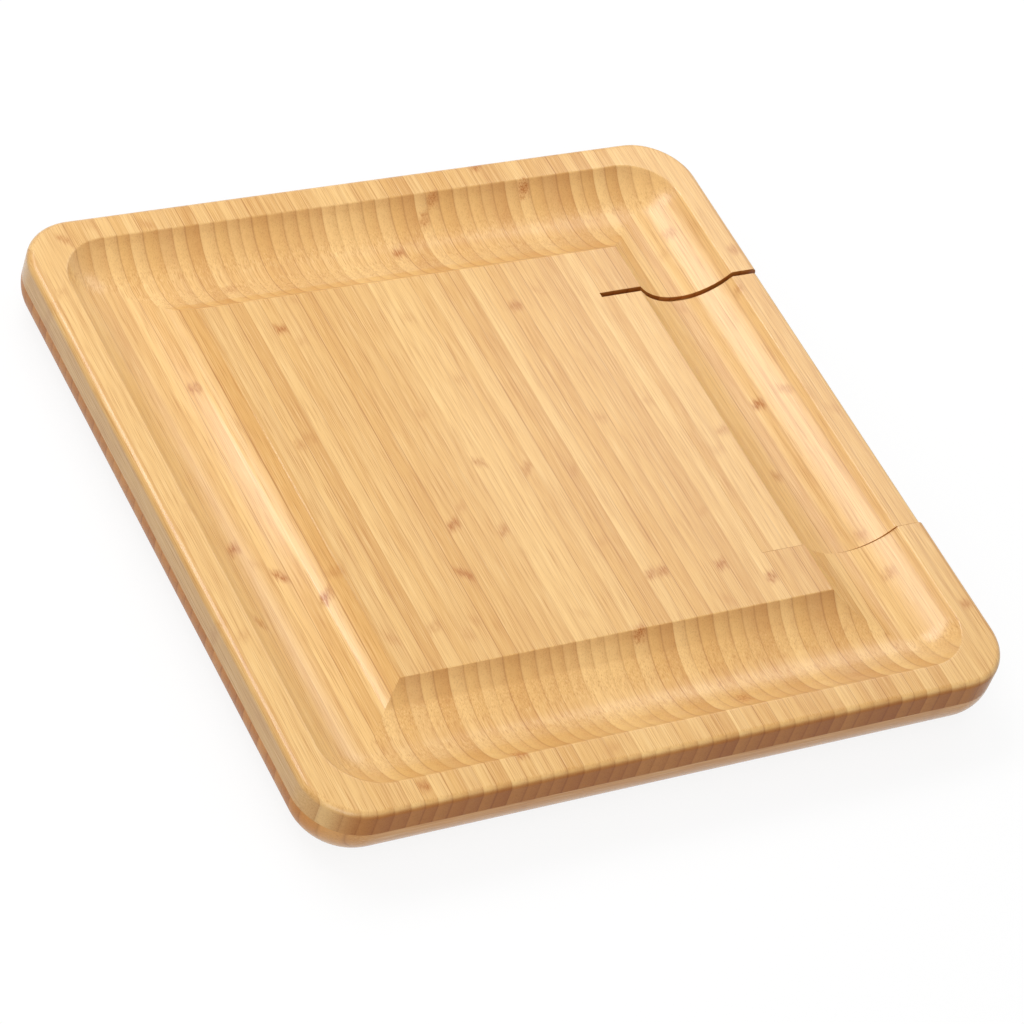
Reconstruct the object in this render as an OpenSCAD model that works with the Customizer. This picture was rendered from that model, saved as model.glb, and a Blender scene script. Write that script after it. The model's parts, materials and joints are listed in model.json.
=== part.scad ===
// Square bamboo cheese board with a cracker groove round it and a drawer of cheese tools.
// Millimetres, +Z up. The origin is the middle of the footprint, on the surface that the board
// stands on. The drawer pulls out along +X, and the strips of the top run along Y.

/* [Board] */
// Length of each side of the square board
board_side = 330; // [315:1:360]
// Plan radius of the four corners
corner_r = 26; // [20:1:30]
// Radius of the round-over on the top edge
top_edge_r = 3; // [1:0.5:4]
// Radius of the deep rounding on the bottom edge
bottom_edge_r = 18; // [8:1:20]
// Thickness of the top slab
top_t = 12.5; // [12.5:0.1:16]
// Thickness of the middle layer, which the drawer runs in
middle_t = 13; // [13:0.5:18]
// Thickness of the base panel
base_t = 6.5; // [5:0.5:10]

/* [Cracker groove] */
// Width of the flat rim outside the groove
rim_w = 13.5; // [10:0.5:18]
// Width of the groove across its mouth
groove_w = 48; // [40:1:52]
// Depth of the groove at its middle
groove_depth = 10.8; // [8:0.1:11]

/* [Drawer] */
// Width of the channel between the two side rails
channel_w = 155.6; // [146:0.1:170]
// Width of the rail behind the drawer
rear_rail_w = 47; // [36:1:52]
// How much of the top moves with the drawer, in from the board's side
cap_l = 83; // [76:1:90]
// How far the drawer pulls out
travel = 190; // [120:1:190]
// Depth of the pockets that hold the tools
pocket_depth = 9.5; // [9:0.1:10]
// Width of each pocket
pocket_w = 27; // [25:0.5:28]

/* [Runners, stop and magnets] */
// Height of the runner strip in each side rail
runner_h = 4; // [3:0.5:5]
// How far a runner stands out of its rail
runner_out = 3; // [2:0.5:3.5]
// How deep a runner is glued into its rail
runner_in = 4; // [3:0.5:8]
// Distance from the board's side to a runner's front end
runner_from_side = 25; // [22:1:40]
// Diameter of the pin that stops the drawer
pin_d = 4; // [3:0.5:4]
// How far the pin stands up into the tray
pin_up = 4; // [3:0.5:4]
// Distance from the board's side to the pin
pin_from_side = 77; // [74:1:79]
// Diameter of a closing magnet
magnet_d = 8; // [5:0.5:9]
// Thickness of a closing magnet
magnet_t = 3; // [2:0.5:4]

/* [Cheese tools] */
// Length of a handle
handle_l = 86; // [70:1:92]
// Width of a handle at its butt
butt_w = 18; // [14:0.5:20]
// Width of a handle at its ferrule
grip_w = 13; // [11:0.5:14]
// Thickness of a handle
handle_t = 8.6; // [6:0.1:8.9]
// Length of a ferrule
ferrule_l = 12; // [8:1:16]
// Thickness of the steel
steel_t = 1.6; // [1:0.1:2]
// Width of a tang
tang_w = 6; // [4:0.5:8]
// Length of the tang inside the handle
tang_l = 42; // [25:1:60]
// Width of the forked knife's blade
knife_w = 18; // [14:0.5:22]
// Width of the slicer's blade
slicer_w = 23; // [18:0.5:24]
// Width of the spade's blade
spade_w = 23; // [18:0.5:24]
// Width of the fork across its tines
fork_w = 19; // [15:0.5:22]

/* [Fits] */
// Gap above and below the sliding tray, and round the runners
slide_gap = 0.3; // [0.2:0.05:0.5]
// Gap on each side of the tray
side_gap = 0.4; // [0.2:0.05:0.6]
// Gap behind the drawer when it is shut
closing_gap = 0.3; // [0.2:0.05:0.5]
// Width of the open seam at the back of the drawer's piece of the top
back_seam = 2.4; // [0.3:0.1:3]
// Width of the tight seam at its front
front_seam = 0.3; // [0.2:0.05:0.6]
// How far the drawer's face sits in from the board's side
face_inset = 1.1; // [0:0.1:2]
// Gap round a pin or magnet in its hole
hole_gap = 0.05; // [0.02:0.01:0.1]

/* [Hidden] */
$fn = 96;
// Overrun of every cut past the face that it opens
over = 1;

// Levels
board_half = board_side / 2;
middle_z = base_t;
top_z = base_t + middle_t;
board_h = top_z + top_t;
mid_z = middle_z + middle_t / 2;
channel_half = channel_w / 2;

// The groove is part of a circle, whose axis runs above the rim
groove_r = (groove_w * groove_w / 4 + groove_depth * groove_depth) / (2 * groove_depth);
groove_axis_z = board_h - groove_depth + groove_r;
groove_line = board_half - rim_w - groove_w / 2;

// The tray
tray_t = middle_t - 2 * slide_gap;
tray_z = middle_z + slide_gap;
tray_top = tray_z + tray_t;
tray_half = channel_half - side_gap;
channel_end = -board_half + rear_rail_w;
tray_end = channel_end + closing_gap;
cap_edge = board_half - cap_l;

// The pockets, one to a tool
tools = 4;
end_wall = 10;
side_wall = 5;
cap_margin = 6;
pocket_room = 4;
pocket_corner_r = 5;
pocket_x0 = tray_end + end_wall;
pocket_x1 = cap_edge - cap_margin;
pocket_z = tray_top - pocket_depth;
pitch = (2 * tray_half - 2 * side_wall) / tools;

// The trough across the handles, for the fingertips
scoop_w = 34;
scoop_depth = 6;
scoop_r = (scoop_w * scoop_w / 4 + scoop_depth * scoop_depth) / (2 * scoop_depth);
scoop_half = (tools - 1) * pitch / 2 + pocket_w / 2;

// Runners, stop pin and magnets
runner_end = board_half - runner_from_side;
pin_x = board_half - pin_from_side;
pin_foot = 0.5;
slot_room = 0.5;
slot_half = pin_d / 2 + closing_gap;
slot_depth = pin_up - slide_gap + slot_room;
magnet_half_span = 45;

// The tools lie with their butts towards the drawer's face
handle_x = pocket_x1 - pocket_room - handle_l;
blade_l = handle_x - ferrule_l - pocket_x0 - pocket_room;
tool_z = pocket_z + handle_t / 2;
grip_round_r = 16;
grip_crown = 0.8;
ferrule_end_w = 10;
neck_l = 5;

// Outlines of the four blades, as shares of the blade's length and width
knife_shares = [[0, -0.17], [0.12, -0.19], [0.19, -0.46], [0.5, -0.5], [0.74, -0.41], [0.88, -0.22],
    [0.98, 0.08], [0.915, 0.2], [1, 0.5], [0.86, 0.46], [0.72, 0.37], [0.14, 0.36], [0.09, 0.17], [0, 0.17]];
slicer_shares = [[0, -0.13], [0.14, -0.13], [0.24, -0.34], [0.93, -0.5], [1, -0.44], [1, 0.44],
    [0.93, 0.5], [0.24, 0.34], [0.14, 0.13], [0, 0.13]];
slicer_slot_shares = [[0.5, -0.33], [0.54, -0.33], [0.54, 0.33], [0.5, 0.33]];
spade_shares = [[0, -0.13], [0.2, -0.13], [0.29, -0.36], [0.4, -0.48], [0.52, -0.5], [0.72, -0.41], [0.88, -0.22],
    [1, 0], [0.88, 0.22], [0.72, 0.41], [0.52, 0.5], [0.4, 0.48], [0.29, 0.36], [0.2, 0.13], [0, 0.13]];
fork_shares = [[0, -0.16], [0.34, -0.16], [0.42, -0.3], [0.5, -0.5], [0.9, -0.47], [1, -0.33], [0.9, -0.27],
    [0.6, -0.22], [0.56, 0], [0.6, 0.22], [0.9, 0.27], [1, 0.33], [0.9, 0.47], [0.5, 0.5], [0.42, 0.3],
    [0.34, 0.16], [0, 0.16]];

top_colour = "#f0c388";
side_colour = "#d9a66b";
base_colour = "#cf9e66";
tray_colour = "#e6b87c";
handle_colour = "#b98150";
steel_colour = "#c9ccd0";

// Where tool i lies across the tray
function tool_y(i) = (i - (tools - 1) / 2) * pitch;

// An outline in shares, at its real length and width
function outline(shares, l, w) = [for (p = shares) [p[0] * l, p[1] * w]];

// A box given by its lowest and highest corners
module span(low, high) {
    translate(low) cube(high - low);
}

// What a round-over takes off a square corner at [0, 0], the solid being up and to the left
module waste(r) {
    difference() {
        translate([-r, -over]) square([r + over, r + over]);
        translate([-r, r]) circle(r);
    }
}

// Half section of the board, from its middle out to w, with both edges rounded
module edge_section(w) {
    difference() {
        square([w, board_h]);
        translate([w, 0]) waste(bottom_edge_r);
        translate([w, board_h]) mirror([0, 1]) waste(top_edge_r);
    }
}

// Whole outer form of the board, before it is split into layers
module board_form() {
    straight = board_side - 2 * corner_r;
    for (turn = [0, 90])
        rotate([0, 0, turn]) rotate([90, 0, 90]) translate([0, 0, -straight / 2])
            linear_extrude(straight) {
                edge_section(board_half);
                mirror([1, 0]) edge_section(board_half);
            }
    for (turn = [0, 90, 180, 270])
        rotate([0, 0, turn]) translate([straight / 2, straight / 2, 0])
            rotate_extrude(angle = 90) edge_section(corner_r);
}

// The part of the board's form between two levels, in the plan box low to high
module board_layer(low, high, z0, z1) {
    intersection() {
        board_form();
        span([low[0], low[1], z0], [high[0], high[1], z1]);
    }
}

// What the groove takes out of the top
module groove_cut() {
    for (turn = [0, 90, 180, 270])
        rotate([0, 0, turn]) {
            translate([groove_line, groove_line, groove_axis_z]) rotate([90, 0, 0])
                cylinder(r = groove_r, h = 2 * groove_line);
            translate([groove_line, groove_line, groove_axis_z]) sphere(groove_r);
        }
}

// A flat plate with round corners, from x = 0 along +X
module round_plate(l, w, r, t) {
    linear_extrude(t) {
        translate([r, -w / 2]) square([l - 2 * r, w]);
        translate([0, r - w / 2]) square([l, w - 2 * r]);
        for (x = [r, l - r], y = [r - w / 2, w / 2 - r])
            translate([x, y]) circle(r);
    }
}

// A flat bar with round ends, whose end centres are at x = 0 and x = l
module round_bar(l, r, t) {
    linear_extrude(t) {
        translate([0, -r]) square([l, 2 * r]);
        for (x = [0, l])
            translate([x, 0]) circle(r);
    }
}

module top_slab() {
    color(top_colour) difference() {
        board_layer([-board_half, -board_half], [board_half, board_half], top_z, board_h);
        groove_cut();
        span([cap_edge, -channel_half, top_z - over], [board_half + over, channel_half, board_h + over]);
    }
}

// The slot that a runner is glued into, on the +Y side
module runner_bar(y0, y1, z_room) {
    span([channel_end, y0, mid_z - runner_h / 2 - z_room], [runner_end, y1, mid_z + runner_h / 2 + z_room]);
}

// Rail beside the channel on the +Y side
module side_rail() {
    difference() {
        board_layer([-board_half, channel_half], [board_half, board_half], middle_z, top_z);
        runner_bar(channel_half - over, channel_half + runner_in, 0);
    }
}

module back_rail() {
    color(side_colour) side_rail();
}

module front_rail() {
    color(side_colour) mirror([0, 1, 0]) side_rail();
}

module back_runner() {
    color(tray_colour) runner_bar(channel_half - runner_out, channel_half + runner_in, 0);
}

module front_runner() {
    color(tray_colour) mirror([0, 1, 0]) back_runner();
}

// Two magnet places, reaching from x0 towards +X
module magnet_pair(x0, l, r) {
    for (y = [-magnet_half_span, magnet_half_span])
        translate([x0, y, mid_z]) rotate([0, 90, 0]) cylinder(r = r, h = l);
}

module rear_rail() {
    color(side_colour) difference() {
        board_layer([-board_half, -channel_half], [channel_end, channel_half], middle_z, top_z);
        magnet_pair(channel_end - magnet_t, magnet_t + over, magnet_d / 2 + hole_gap);
    }
}

module rear_rail_magnets() {
    color(steel_colour) magnet_pair(channel_end - magnet_t, magnet_t, magnet_d / 2);
}

module base_panel() {
    color(base_colour) difference() {
        board_layer([-board_half, -board_half], [board_half, board_half], 0, base_t);
        translate([pin_x, 0, -over]) cylinder(d = pin_d + 2 * hole_gap, h = base_t + 2 * over);
    }
}

module stop_pin() {
    color(steel_colour) translate([pin_x, 0, pin_foot]) cylinder(d = pin_d, h = base_t + pin_up - pin_foot);
}

// The drawer's share of the board's form, set in from the side
module drawer_layer(low, high, z0, z1) {
    intersection() {
        translate([-face_inset, 0, 0]) board_form();
        span([low[0], low[1], z0], [high[0], high[1], z1]);
    }
}

module drawer_cap() {
    color(top_colour) difference() {
        drawer_layer([cap_edge + closing_gap, -channel_half + front_seam],
            [board_half, channel_half - back_seam], tray_top, board_h);
        translate([-face_inset, 0, 0]) groove_cut();
    }
}

module drawer_tray() {
    color(tray_colour) difference() {
        drawer_layer([tray_end, -tray_half], [board_half, tray_half], tray_z, tray_top);
        for (i = [0 : tools - 1])
            translate([pocket_x0, tool_y(i), pocket_z])
                round_plate(pocket_x1 - pocket_x0, pocket_w, pocket_corner_r, pocket_depth + over);
        translate([handle_x + handle_l / 2, scoop_half, tray_top - scoop_depth + scoop_r])
            rotate([90, 0, 0]) cylinder(r = scoop_r, h = 2 * scoop_half);
        for (side = [0, 1])
            mirror([0, side, 0])
                span([tray_end - over, tray_half - runner_out, mid_z - runner_h / 2 - slide_gap],
                    [runner_end + closing_gap, tray_half + over, mid_z + runner_h / 2 + slide_gap]);
        translate([pin_x - travel, 0, tray_z - over]) round_bar(travel, slot_half, slot_depth + over);
        magnet_pair(tray_end - over, magnet_t + over, magnet_d / 2 + hole_gap);
    }
}

module drawer_magnets() {
    color(steel_colour) magnet_pair(tray_end, magnet_t, magnet_d / 2);
}

// Sets a tool's piece in its pocket. The handle starts at [0, 0] and points along +X
module in_pocket(i) {
    translate([handle_x, tool_y(i), tool_z]) children();
}

// A bar along X with both broad sides crowned, that a grip's outline is cut from
module grip_bar(l) {
    centre = grip_round_r - (handle_t + grip_crown) / 2;
    intersection_for(side = [-1, 1])
        translate([0, 0, side * centre]) rotate([0, 90, 0]) cylinder(r = grip_round_r, h = l);
}

// The tang in plan, from the blade's neck to its end in the handle
module tang_plan() {
    translate([-ferrule_l - neck_l, -tang_w / 2]) square([neck_l + ferrule_l + tang_l, tang_w]);
}

// The slot through a grip that the tang fills
module tang_cut() {
    translate([0, 0, -steel_t / 2]) linear_extrude(steel_t) tang_plan();
}

module handle() {
    color(handle_colour) difference() {
        intersection() {
            translate([0, 0, -handle_t / 2]) linear_extrude(handle_t) {
                polygon([[0, -grip_w / 2], [handle_l - butt_w / 2, -butt_w / 2],
                    [handle_l - butt_w / 2, butt_w / 2], [0, grip_w / 2]]);
                translate([handle_l - butt_w / 2, 0]) circle(d = butt_w);
            }
            grip_bar(handle_l);
        }
        tang_cut();
    }
}

module ferrule() {
    color(steel_colour) difference() {
        translate([-ferrule_l, 0, 0]) intersection() {
            translate([0, 0, -handle_t / 2]) linear_extrude(handle_t)
                polygon([[0, -ferrule_end_w / 2], [ferrule_l, -grip_w / 2],
                    [ferrule_l, grip_w / 2], [0, ferrule_end_w / 2]]);
            grip_bar(ferrule_l);
        }
        tang_cut();
    }
}

// A flat blade with its tang, from an outline in shares
module blade(shares, w) {
    color(steel_colour) translate([0, 0, -steel_t / 2]) union() {
        linear_extrude(steel_t) tang_plan();
        translate([-ferrule_l, 0, 0]) mirror([1, 0, 0])
            linear_extrude(steel_t) polygon(outline(shares, blade_l, w));
    }
}

module knife_blade() { in_pocket(0) blade(knife_shares, knife_w); }
module knife_ferrule() { in_pocket(0) ferrule(); }
module knife_handle() { in_pocket(0) handle(); }

module slicer_blade() {
    in_pocket(1) difference() {
        blade(slicer_shares, slicer_w);
        translate([-ferrule_l, 0, -steel_t]) mirror([1, 0, 0]) linear_extrude(2 * steel_t)
            polygon(outline(slicer_slot_shares, blade_l, slicer_w));
    }
}
module slicer_ferrule() { in_pocket(1) ferrule(); }
module slicer_handle() { in_pocket(1) handle(); }

module spade_blade() { in_pocket(2) blade(spade_shares, spade_w); }
module spade_ferrule() { in_pocket(2) ferrule(); }
module spade_handle() { in_pocket(2) handle(); }

module fork_blade() { in_pocket(3) blade(fork_shares, fork_w); }
module fork_ferrule() { in_pocket(3) ferrule(); }
module fork_handle() { in_pocket(3) handle(); }

top_slab();
front_rail();
back_rail();
rear_rail();
base_panel();
front_runner();
back_runner();
stop_pin();
rear_rail_magnets();
drawer_cap();
drawer_tray();
drawer_magnets();
knife_blade();
knife_ferrule();
knife_handle();
slicer_blade();
slicer_ferrule();
slicer_handle();
spade_blade();
spade_ferrule();
spade_handle();
fork_blade();
fork_ferrule();
fork_handle();
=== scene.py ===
# %% [markdown]
# Bamboo cheese board with a drawer.
# The board is glued up from bamboo strips on edge, pressed flat, and then milled: a groove for
# crackers goes round a flat middle, and a piece of one side pulls out as a drawer of cheese tools.
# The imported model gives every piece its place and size. Here each piece gets the soft edges that
# sanding leaves, and the grain, knuckles and lacquer that make bamboo look like bamboo.

# %% Load the frame
import json
import math

import bpy
from mathutils import Matrix, Vector


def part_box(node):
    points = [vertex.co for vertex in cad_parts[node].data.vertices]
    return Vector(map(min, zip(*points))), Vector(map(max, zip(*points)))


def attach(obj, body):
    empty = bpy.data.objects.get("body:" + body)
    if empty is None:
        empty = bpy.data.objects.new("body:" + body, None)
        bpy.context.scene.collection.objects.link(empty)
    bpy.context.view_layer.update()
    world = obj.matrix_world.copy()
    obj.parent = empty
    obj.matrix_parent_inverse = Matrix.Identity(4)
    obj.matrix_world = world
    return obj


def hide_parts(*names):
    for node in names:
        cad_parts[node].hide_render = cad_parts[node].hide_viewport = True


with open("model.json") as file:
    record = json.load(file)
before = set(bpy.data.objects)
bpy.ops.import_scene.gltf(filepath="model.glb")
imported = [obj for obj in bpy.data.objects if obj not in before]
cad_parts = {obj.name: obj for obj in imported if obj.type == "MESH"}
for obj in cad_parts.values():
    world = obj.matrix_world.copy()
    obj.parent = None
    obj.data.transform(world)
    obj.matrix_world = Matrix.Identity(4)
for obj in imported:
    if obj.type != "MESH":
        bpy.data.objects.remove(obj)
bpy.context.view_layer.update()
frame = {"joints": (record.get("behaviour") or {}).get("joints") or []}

# %% [markdown]
# Sizes are in metres. What the frame can tell is read from it, so the pieces always fit the
# packed ones. The radii and the groove are named here, in millimetres.

# %% Sizes of the board
MM = 0.001
slab_low, slab_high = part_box("top_slab")
cap_low, cap_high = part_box("drawer_cap")
tray_low, tray_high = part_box("drawer_tray")
panel_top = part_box("base_panel")[1].z
channel_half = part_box("back_rail")[0].y
rear_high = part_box("rear_rail")[1]

board_half = slab_high.x
board_top = slab_high.z
slab_bottom = slab_low.z
closing_gap = 0.3 * MM
notch_edge = cap_low.x - closing_gap
face_inset = board_half - cap_high.x

corner_radius = 26 * MM
top_edge_radius = 3 * MM
bottom_edge_radius = 18 * MM
rim_width = 13.5 * MM
groove_width = 48 * MM
groove_depth = 10.8 * MM
lip_radius = 1.3 * MM
crease_radius = 0.8 * MM
tight_seam = 0.05 * MM
over = 5 * MM
print("board half", round(board_half, 4), "top", round(board_top, 4), "channel", round(channel_half, 4))

# %% [markdown]
# A few helpers do what a hand would do in the viewport: change mode, pick points, edges or faces
# by where they are, and tidy up. Everything is deselected first, because an operator acts on all
# that is selected.

# %% Helpers for selecting
def only(piece):
    """Makes piece the one selected and active object."""
    bpy.ops.object.select_all(action="DESELECT")
    piece.select_set(True)
    bpy.context.view_layer.objects.active = piece


def edit(piece):
    """Opens piece in edit mode with nothing selected."""
    only(piece)
    bpy.ops.object.mode_set(mode="EDIT")
    bpy.ops.mesh.select_all(action="DESELECT")


def done():
    """Goes back to object mode."""
    bpy.ops.object.mode_set(mode="OBJECT")


def near(a, b, room=0.02 * MM):
    return abs(a - b) < room


def choose(mesh, kind, chosen):
    """Selects these elements of a mesh and nothing else, and goes to edit mode."""
    for group in (mesh.vertices, mesh.edges, mesh.polygons):
        group.foreach_set("select", [False] * len(group))
    {"VERT": mesh.vertices, "EDGE": mesh.edges, "FACE": mesh.polygons}[kind].foreach_set("select", chosen)
    # the select mode is set first, or the ends of a chosen edge would bring other edges in
    bpy.context.tool_settings.mesh_select_mode = [kind == name for name in ("VERT", "EDGE", "FACE")]
    bpy.ops.object.mode_set(mode="EDIT")
    return sum(chosen)


def pick(piece, kind, wanted):
    """Selects the points, edges or faces for which wanted is true, and counts them.
    wanted gets a point, an edge's two points, or a face's points and the face."""
    done()
    mesh = piece.data
    place = [v.co.copy() for v in mesh.vertices]
    if kind == "VERT":
        return choose(mesh, kind, [wanted(p) for p in place])
    if kind == "EDGE":
        return choose(mesh, kind, [wanted([place[i] for i in edge.vertices]) for edge in mesh.edges])
    return choose(mesh, kind, [wanted([place[i] for i in face.vertices], face) for face in mesh.polygons])


def pick_sharp(piece, where, angle=30):
    """Selects the edges where two faces turn by more than angle and both ends pass where."""
    done()
    mesh = piece.data
    meeting = {}
    for face in mesh.polygons:
        for key in face.edge_keys:
            meeting.setdefault(tuple(sorted(key)), []).append(face.normal.copy())
    limit = math.cos(math.radians(angle))
    sharp = {key for key, pair in meeting.items() if len(pair) == 2 and pair[0].dot(pair[1]) < limit}
    place = [v.co.copy() for v in mesh.vertices]
    return choose(mesh, "EDGE", [tuple(sorted(edge.vertices)) in sharp
                                 and all(where(place[i]) for i in edge.vertices) for edge in mesh.edges])


# %% Helpers for making and cutting
def apply_modifier(piece, kind, **settings):
    """Adds a modifier with its settings and applies it."""
    only(piece)
    modifier = piece.modifiers.new(kind.title(), kind)
    for name, value in settings.items():
        setattr(modifier, name, value)
    bpy.ops.object.modifier_apply(modifier=modifier.name)


def started(name):
    """Names the primitive that was just added, and puts its place in its mesh."""
    piece = bpy.context.active_object
    piece.name = name
    only(piece)
    bpy.ops.object.transform_apply(location=True, rotation=True, scale=True)
    return piece


def block(name, low, high):
    """A box from its lowest to its highest corner."""
    low, high = Vector(low), Vector(high)
    bpy.ops.object.select_all(action="DESELECT")
    bpy.ops.mesh.primitive_cube_add(size=1, location=(low + high) / 2, scale=high - low)
    return started(name)


def rod(name, start, end, radius, sides=48):
    """A cylinder between two points."""
    start, end = Vector(start), Vector(end)
    turn = (end - start).to_track_quat("Z", "Y").to_euler()
    bpy.ops.object.select_all(action="DESELECT")
    bpy.ops.mesh.primitive_cylinder_add(vertices=sides, radius=radius, depth=(end - start).length,
                                        location=(start + end) / 2, rotation=turn)
    return started(name)


def is_upright(points):
    """True for an edge that stands upright."""
    return near(points[0].x, points[1].x) and near(points[0].y, points[1].y)


def bevel(radius, steps, affect="EDGES"):
    bpy.ops.mesh.bevel(offset=radius, segments=steps, affect=affect, clamp_overlap=False)


def round_upright(piece, radius, steps=8):
    """Rounds the upright edges of a block."""
    edit(piece)
    pick(piece, "EDGE", is_upright)
    bevel(radius, steps)
    done()


def round_sharp(piece, where, radius, steps=3, angle=30):
    """Rounds the sharp edges whose ends pass where, and counts them."""
    edit(piece)
    count = pick_sharp(piece, where, angle)
    bevel(radius, steps)
    done()
    return count


def saw(piece, point, normal):
    """Cuts a closed piece by a plane, takes off the side the normal points to, and closes it."""
    edit(piece)
    bpy.ops.mesh.select_all(action="SELECT")
    bpy.ops.mesh.bisect(plane_co=point, plane_no=normal, use_fill=True, clear_outer=True)
    done()


def mill(piece, cutter, operation="DIFFERENCE"):
    """Cuts the cutter's shape out of piece, or keeps only what is in it, and removes the cutter."""
    apply_modifier(piece, "BOOLEAN", object=cutter, operation=operation, solver="EXACT")
    bpy.data.objects.remove(cutter)


def smooth(piece, degrees=35):
    """Smooth shading, with sharp edges and flat faces kept."""
    only(piece)
    bpy.ops.object.shade_smooth_by_angle(angle=math.radians(degrees))
    apply_modifier(piece, "WEIGHTED_NORMAL", keep_sharp=True, weight=100)


# %% [markdown]
# The board's outer form is a box with its four upright edges rounded to 26 mm, then the top
# edge to 3 mm and the bottom edge to 18 mm. On the real board the layers are milled together
# after the glue has set, so each layer here is a slice of this one form.

# %% The board's outer form
CORNER_STEPS = 16
TOP_EDGE_STEPS = 6
BOTTOM_EDGE_STEPS = 14


def board_form(name, shift=0.0):
    """The whole milled form of the board, moved by shift along X."""
    piece = block(name, (shift - board_half, -board_half, 0), (shift + board_half, board_half, board_top))
    round_upright(piece, corner_radius, CORNER_STEPS)
    edit(piece)
    for level, radius, steps in ((board_top, top_edge_radius, TOP_EDGE_STEPS),
                                 (0.0, bottom_edge_radius, BOTTOM_EDGE_STEPS)):
        pick(piece, "EDGE", lambda points: all(near(p.z, level) for p in points))
        bevel(radius, steps)
    done()
    return piece


# %% [markdown]
# The groove is part of a circle, 48 mm wide and 10.8 mm deep. Its outline in plan is a square
# with round corners on the outside and mitred corners on the inside, which is just what insetting
# a round-cornered face gives: the corners shrink to a point half way, and stay sharp after that.
# So the groove is made with the Inset tool, one step at a time, each a little deeper. A small
# radius at both lips stands for the sanding.

# %% The groove's section
GROOVE_STEPS = 12
LIP_STEPS = 3
half_way = groove_width / 2
groove_radius = (groove_width ** 2 / 4 + groove_depth ** 2) / (2 * groove_depth)
axis_height = groove_radius - groove_depth


def lip_arc(radius):
    """Points on a rounded lip, from the flat to the groove's circle, and how far it reaches out.
    A point is its distance inwards from the sharp lip, and its depth."""
    reach = math.sqrt((groove_radius + radius) ** 2 - (axis_height + radius) ** 2)
    centre = half_way - reach
    turn = math.atan2(reach, axis_height + radius)
    steps = [turn * i / LIP_STEPS for i in range(LIP_STEPS + 1)]
    return [(centre + radius * math.sin(a), radius * (1 - math.cos(a))) for a in steps], -centre


def on_circle(x):
    """A point on the groove's circle, x inwards from the outer lip."""
    return x, math.sqrt(groove_radius ** 2 - (x - half_way) ** 2) - axis_height


outer_lip, outer_reach = lip_arc(lip_radius)
inner_lip, inner_reach = lip_arc(crease_radius)
corner_end = 1.5 * MM
down = outer_lip[1:]
wall_start, wall_end = down[-1][0], half_way - corner_end
down += [on_circle(wall_start + (wall_end - wall_start) * i / GROOVE_STEPS)
         for i in range(1, GROOVE_STEPS + 1)]
down.append((half_way - corner_end / 4, groove_depth))
rise_end = groove_width - inner_lip[-1][0]
up = [on_circle(half_way + (rise_end - half_way) * i / GROOVE_STEPS) for i in range(1, GROOVE_STEPS)]
up += [(groove_width - x, depth) for x, depth in reversed(inner_lip)]
print("groove section points", len(down) + len(up))


# %% The groove as a sheet of its own
def inset_along(section, at, deep):
    """Insets the selected face from one point of a section to the next."""
    for x, depth in section:
        bpy.ops.mesh.inset(thickness=x - at, depth=deep - depth, use_even_offset=True)
        at, deep = x, depth


def groove_sheet(name):
    """The open sheet from the rim's lip, through the groove, over the flat middle."""
    side = 2 * (board_half - rim_width + outer_reach)
    bpy.ops.object.select_all(action="DESELECT")
    bpy.ops.mesh.primitive_plane_add(size=side, location=(0, 0, board_top))
    piece = started(name)
    edit(piece)
    pick(piece, "VERT", lambda p: True)
    bevel(half_way + outer_reach, CORNER_STEPS, affect="VERTICES")
    pick(piece, "FACE", lambda points, face: True)
    inset_along(down, -outer_reach, 0.0)
    # the corner arcs are a fraction of a millimetre long by now, and each closes to one point
    bottom = board_top - groove_depth
    pick(piece, "EDGE", lambda points: all(near(p.z, bottom) for p in points)
         and (points[0] - points[1]).length < corner_end)
    bpy.ops.mesh.merge(type="COLLAPSE")
    pick(piece, "VERT", lambda p: near(p.z, bottom))
    done()
    ring = [abs(v.co.x) for v in piece.data.vertices if v.select]
    bpy.ops.object.mode_set(mode="EDIT")
    grow = (board_half - rim_width - half_way) * len(ring) / sum(ring)
    bpy.ops.transform.resize(value=(grow, grow, 1), center_override=(0, 0, 0))
    print(name, "corners", len(ring), "brought out by", round(grow, 5))
    pick(piece, "FACE", lambda points, face: all(near(p.z, bottom) for p in points))
    inset_along(up, half_way, groove_depth)
    done()
    return piece


# %% [markdown]
# The top slab is the top slice of the form. Its flat top face is taken off, and the groove is
# bridged to the edge of the hole, which makes the flat rim. Then the notch for the drawer is cut
# out of it, and the cut edges are eased a little.

# %% The milled top, before the drawer is cut out of it
def milled_top(name, bottom, shift=0.0):
    """The board's top with its groove, down to the level bottom, all moved by shift along X."""
    piece = board_form(name)
    saw(piece, (0, 0, bottom), (0, 0, -1))
    edit(piece)
    pick(piece, "FACE", lambda points, face: all(near(p.z, board_top) for p in points))
    bpy.ops.mesh.delete(type="ONLY_FACE")
    done()
    groove = groove_sheet(name + "_groove")
    only(piece)
    groove.select_set(True)
    bpy.ops.object.join()
    edit(piece)
    bpy.ops.mesh.select_mode(type="EDGE")
    bpy.ops.mesh.select_non_manifold(extend=False)
    bpy.ops.mesh.bridge_edge_loops()
    bpy.ops.mesh.select_all(action="SELECT")
    bpy.ops.mesh.normals_make_consistent(inside=False)
    bpy.ops.transform.translate(value=(shift, 0, 0))
    done()
    print(name, "faces", len(piece.data.polygons))
    return piece


# %% Top slab
seam_edge, tight_edge = 0.25 * MM, 0.08 * MM
top = milled_top("top_slab_milled", slab_bottom)
mill(top, block("notch", (notch_edge, -channel_half, slab_bottom - over),
                (board_half + over, channel_half, board_top + over)))
round_sharp(top, lambda p: near(p.x, notch_edge) or near(p.y, -channel_half), tight_edge, 2)
round_sharp(top, lambda p: near(p.y, channel_half) and p.z > slab_bottom + MM, seam_edge, 2)
smooth(top)
print("top slab faces", len(top.data.polygons))

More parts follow.
